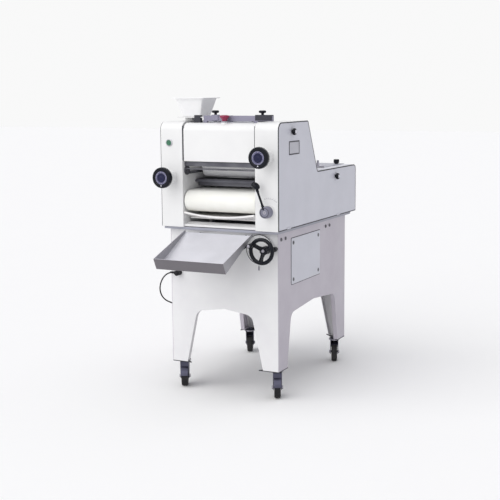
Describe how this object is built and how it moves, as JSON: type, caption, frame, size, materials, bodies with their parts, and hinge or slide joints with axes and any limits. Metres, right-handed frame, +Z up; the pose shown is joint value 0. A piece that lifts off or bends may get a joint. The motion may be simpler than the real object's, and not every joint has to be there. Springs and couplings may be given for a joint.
{
  "type": "dough moulder",
  "caption": "Floor-standing electric dough moulder: gap-set rollers, belt and pressing board between rounded side boxes, on a casters stand.",
  "frame": {"origin": "on the floor under the middle of the machine's box, without the cord, its coil and plug", "axes": "+X to the operator's right, +Y to the back, +Z up"},
  "size_m": [1.0063, 1.262, 1.404],
  "materials": {
    "white_enamel": "smooth semi-gloss",
    "grey_enamel": "smooth semi-gloss",
    "dark_enamel": "satin",
    "sheet_steel": "brushed",
    "zinc_plate": "satin zinc",
    "roller_plastic": "satin",
    "black_plastic": "satin",
    "white_plastic": "satin",
    "green_plastic": "gloss",
    "red_plastic": "gloss",
    "grey_plastic": "satin",
    "belt_felt": "woven",
    "cord_rubber": "satin",
    "wheel_rubber": "matt"
  },
  "bodies": {
    "machine": {"side_boxes": "white_enamel", "side_plates": "grey_enamel", "side_covers": "grey_enamel", "front_panel": "white_enamel", "head_cover": "grey_enamel", "rear_panel": "white_enamel", "base_pan": "grey_enamel", "stand_end_panels": "white_enamel", "stand_side_panels": "grey_enamel", "access_door": "grey_enamel", "fasteners": "black_plastic", "brackets": "dark_enamel", "drive_chains": "zinc_plate", "drive_motor": "dark_enamel", "conveyor_belt": "belt_felt", "belt_bed": "sheet_steel", "exit_sill": "white_enamel", "roller_scrapers": "sheet_steel", "curling_net": "zinc_plate", "front_bosses": "grey_plastic", "height_dial": "grey_plastic", "infeed_rail": "grey_enamel", "cable_gland": "black_plastic", "mains_cord": "cord_rubber", "cord_coil": "cord_rubber", "mains_plug": "black_plastic"},
    "belt_drive_roller": {"belt_drive_roller": "sheet_steel"},
    "belt_front_roller": {"belt_front_roller": "sheet_steel"},
    "tension_blocks": {"tension_blocks": "dark_enamel"},
    "tension_lever": {"tension_lever": "black_plastic"},
    "upper_front_roller": {"upper_front_roller": "roller_plastic"},
    "upper_rear_roller": {"upper_rear_roller": "roller_plastic"},
    "lower_front_roller": {"lower_front_roller": "roller_plastic"},
    "lower_rear_roller": {"lower_rear_roller": "roller_plastic"},
    "upper_carrier": {"upper_carrier": "dark_enamel"},
    "lower_carrier": {"lower_carrier": "dark_enamel"},
    "upper_gap_knob": {"upper_gap_knob": "black_plastic"},
    "lower_gap_knob": {"lower_gap_knob": "black_plastic"},
    "handwheel": {"handwheel": "black_plastic"},
    "handwheel_grip": {"handwheel_grip": "black_plastic"},
    "lift_screw": {"lift_screw": "zinc_plate"},
    "pressing_board": {"pressing_board": "white_plastic"},
    "motor_shaft": {"motor_shaft": "zinc_plate"},
    "start_button": {"start_button": "green_plastic"},
    "stop_button": {"stop_button": "red_plastic"},
    "left_guide": {"left_guide": "black_plastic"},
    "right_guide": {"right_guide": "black_plastic"},
    "left_thumb_knob": {"left_thumb_knob": "black_plastic"},
    "right_thumb_knob": {"right_thumb_knob": "black_plastic"},
    "flour_box": {"flour_box": "white_plastic"},
    "rear_cover": {"rear_cover": "grey_enamel"},
    "catch_tray": {"catch_tray": "sheet_steel"},
    "front_left_caster_fork": {"front_left_caster_fork": "zinc_plate"},
    "front_left_caster_wheel": {"front_left_caster_wheel": "wheel_rubber"},
    "rear_left_caster_fork": {"rear_left_caster_fork": "zinc_plate"},
    "rear_left_caster_wheel": {"rear_left_caster_wheel": "wheel_rubber"},
    "front_right_caster_fork": {"front_right_caster_fork": "zinc_plate"},
    "front_right_caster_wheel": {"front_right_caster_wheel": "wheel_rubber"},
    "rear_right_caster_fork": {"rear_right_caster_fork": "zinc_plate"},
    "rear_right_caster_wheel": {"rear_right_caster_wheel": "wheel_rubber"}
  },
  "joints": [
    {"name": "belt_drive_roller_turn", "type": "hinge", "parent": "machine", "child": "belt_drive_roller", "pos_m": [0, 0.52701, 0.922], "axis": [1, 0, 0], "continuous": true},
    {"name": "tension_blocks_slide", "type": "slide", "parent": "machine", "child": "tension_blocks", "axis": [0, 1, 0], "range_m": [0, 0.006]},
    {"name": "belt_front_roller_turn", "type": "hinge", "parent": "tension_blocks", "child": "belt_front_roller", "pos_m": [0, -0.27999, 0.922], "axis": [1, 0, 0], "continuous": true},
    {"name": "tension_lever_turn", "type": "hinge", "parent": "machine", "child": "tension_lever", "pos_m": [0.258, -0.33499, 0.891], "axis": [0, 1, 0], "range_deg": [0, 60]},
    {"name": "upper_carrier_slide", "type": "slide", "parent": "machine", "child": "upper_carrier", "axis": [0, 1, 0], "range_m": [0, 0.008]},
    {"name": "lower_carrier_slide", "type": "slide", "parent": "machine", "child": "lower_carrier", "axis": [0, 1, 0], "range_m": [0, 0.008]},
    {"name": "upper_gap_knob_turn", "type": "hinge", "parent": "machine", "child": "upper_gap_knob", "pos_m": [0.251, -0.33499, 1.14], "axis": [0, 1, 0], "range_deg": [0, 1080]},
    {"name": "lower_gap_knob_turn", "type": "hinge", "parent": "machine", "child": "lower_gap_knob", "pos_m": [-0.251, -0.33499, 1.037], "axis": [0, 1, 0], "range_deg": [0, 1080]},
    {"name": "upper_front_roller_turn", "type": "hinge", "parent": "machine", "child": "upper_front_roller", "pos_m": [0, -0.18499, 1.2], "axis": [1, 0, 0], "continuous": true},
    {"name": "upper_rear_roller_turn", "type": "hinge", "parent": "upper_carrier", "child": "upper_rear_roller", "pos_m": [0, -0.08499, 1.2], "axis": [1, 0, 0], "continuous": true},
    {"name": "lower_front_roller_turn", "type": "hinge", "parent": "machine", "child": "lower_front_roller", "pos_m": [0, -0.13899, 1.074], "axis": [1, 0, 0], "continuous": true},
    {"name": "lower_rear_roller_turn", "type": "hinge", "parent": "lower_carrier", "child": "lower_rear_roller", "pos_m": [0, -0.03899, 1.074], "axis": [1, 0, 0], "continuous": true},
    {"name": "motor_shaft_turn", "type": "hinge", "parent": "machine", "child": "motor_shaft", "pos_m": [0, 0.26501, 0.63], "axis": [1, 0, 0], "continuous": true},
    {"name": "handwheel_turn", "type": "hinge", "parent": "machine", "child": "handwheel", "pos_m": [0.243, -0.33499, 0.714], "axis": [0, 1, 0], "range_deg": [0, 1440]},
    {"name": "handwheel_grip_turn", "type": "hinge", "parent": "handwheel", "child": "handwheel_grip", "pos_m": [0.20286, -0.40499, 0.74211], "axis": [0, 1, 0], "continuous": true},
    {"name": "lift_screw_turn", "type": "hinge", "parent": "machine", "child": "lift_screw", "pos_m": [0.243, 0.11501, 0], "axis": [0, 0, 1], "range_deg": [0, 1440]},
    {"name": "pressing_board_slide", "type": "slide", "parent": "machine", "child": "pressing_board", "axis": [0, 0, -1], "range_m": [0, 0.02]},
    {"name": "start_button_slide", "type": "slide", "parent": "machine", "child": "start_button", "axis": [0, 1, 0], "range_m": [0, 0.004], "stiffness_N_per_m": 300, "springref_m": -0.003},
    {"name": "stop_button_slide", "type": "slide", "parent": "machine", "child": "stop_button", "axis": [0, 0, -1], "range_m": [0, 0.006]},
    {"name": "left_guide_slide", "type": "slide", "parent": "machine", "child": "left_guide", "axis": [1, 0, 0], "range_m": [-0.04, 0.06]},
    {"name": "right_guide_slide", "type": "slide", "parent": "machine", "child": "right_guide", "axis": [1, 0, 0], "range_m": [-0.08, 0]},
    {"name": "left_thumb_knob_turn", "type": "hinge", "parent": "left_guide", "child": "left_thumb_knob", "pos_m": [-0.043, -0.27299, 1.33], "axis": [0, 0, 1], "range_deg": [0, 720]},
    {"name": "right_thumb_knob_turn", "type": "hinge", "parent": "right_guide", "child": "right_thumb_knob", "pos_m": [0.2, -0.27299, 1.33], "axis": [0, 0, 1], "range_deg": [0, 720]},
    {"name": "flour_box_slide", "type": "slide", "parent": "machine", "child": "flour_box", "axis": [0, 0, 1], "range_m": [0, 0.12]},
    {"name": "catch_tray_slide", "type": "slide", "parent": "machine", "child": "catch_tray", "axis": [0, 0, 1], "range_m": [0, 0.12]},
    {"name": "rear_cover_turn", "type": "hinge", "parent": "machine", "child": "rear_cover", "pos_m": [0, 0.33301, 1.0513], "axis": [1, 0, 0], "range_deg": [0, 100]},
    {"name": "front_left_caster_fork_turn", "type": "hinge", "parent": "machine", "child": "front_left_caster_fork", "pos_m": [-0.2515, -0.23599, 0.133], "axis": [0, 0, 1], "continuous": true},
    {"name": "front_left_caster_wheel_turn", "type": "hinge", "parent": "front_left_caster_fork", "child": "front_left_caster_wheel", "pos_m": [-0.24098, -0.25756, 0.05], "axis": [0.8988, 0.4384, 0], "continuous": true},
    {"name": "rear_left_caster_fork_turn", "type": "hinge", "parent": "machine", "child": "rear_left_caster_fork", "pos_m": [-0.2515, 0.47801, 0.133], "axis": [0, 0, 1], "continuous": true},
    {"name": "rear_left_caster_wheel_turn", "type": "hinge", "parent": "rear_left_caster_fork", "child": "rear_left_caster_wheel", "pos_m": [-0.26088, 0.50011, 0.05], "axis": [-0.9205, -0.3907, 0], "continuous": true},
    {"name": "front_right_caster_fork_turn", "type": "hinge", "parent": "machine", "child": "front_right_caster_fork", "pos_m": [0.2515, -0.23599, 0.133], "axis": [0, 0, 1], "continuous": true},
    {"name": "front_right_caster_wheel_turn", "type": "hinge", "parent": "front_right_caster_fork", "child": "front_right_caster_wheel", "pos_m": [0.26202, -0.25756, 0.05], "axis": [0.8988, 0.4384, 0], "continuous": true},
    {"name": "rear_right_caster_fork_turn", "type": "hinge", "parent": "machine", "child": "rear_right_caster_fork", "pos_m": [0.2515, 0.47801, 0.133], "axis": [0, 0, 1], "continuous": true},
    {"name": "rear_right_caster_wheel_turn", "type": "hinge", "parent": "rear_right_caster_fork", "child": "rear_right_caster_wheel", "pos_m": [0.24212, 0.50011, 0.05], "axis": [-0.9205, -0.3907, 0], "continuous": true}
  ],
  "couplings": [
    {"joint": "tension_lever_turn", "follows": "tension_blocks_slide", "rad_per_m": 174.5},
    {"joint": "upper_gap_knob_turn", "follows": "upper_carrier_slide", "rad_per_m": 2356},
    {"joint": "lower_gap_knob_turn", "follows": "lower_carrier_slide", "rad_per_m": 2356},
    {"joint": "belt_front_roller_turn", "follows": "belt_drive_roller_turn", "ratio": 1},
    {"joint": "upper_front_roller_turn", "follows": "belt_drive_roller_turn", "ratio": 1},
    {"joint": "lower_front_roller_turn", "follows": "belt_drive_roller_turn", "ratio": 1},
    {"joint": "upper_rear_roller_turn", "follows": "belt_drive_roller_turn", "ratio": -1},
    {"joint": "lower_rear_roller_turn", "follows": "belt_drive_roller_turn", "ratio": -1},
    {"joint": "motor_shaft_turn", "follows": "belt_drive_roller_turn", "ratio": 1},
    {"joint": "lift_screw_turn", "follows": "pressing_board_slide", "rad_per_m": 1256.6},
    {"joint": "handwheel_turn", "follows": "pressing_board_slide", "rad_per_m": 1256.6}
  ]
}
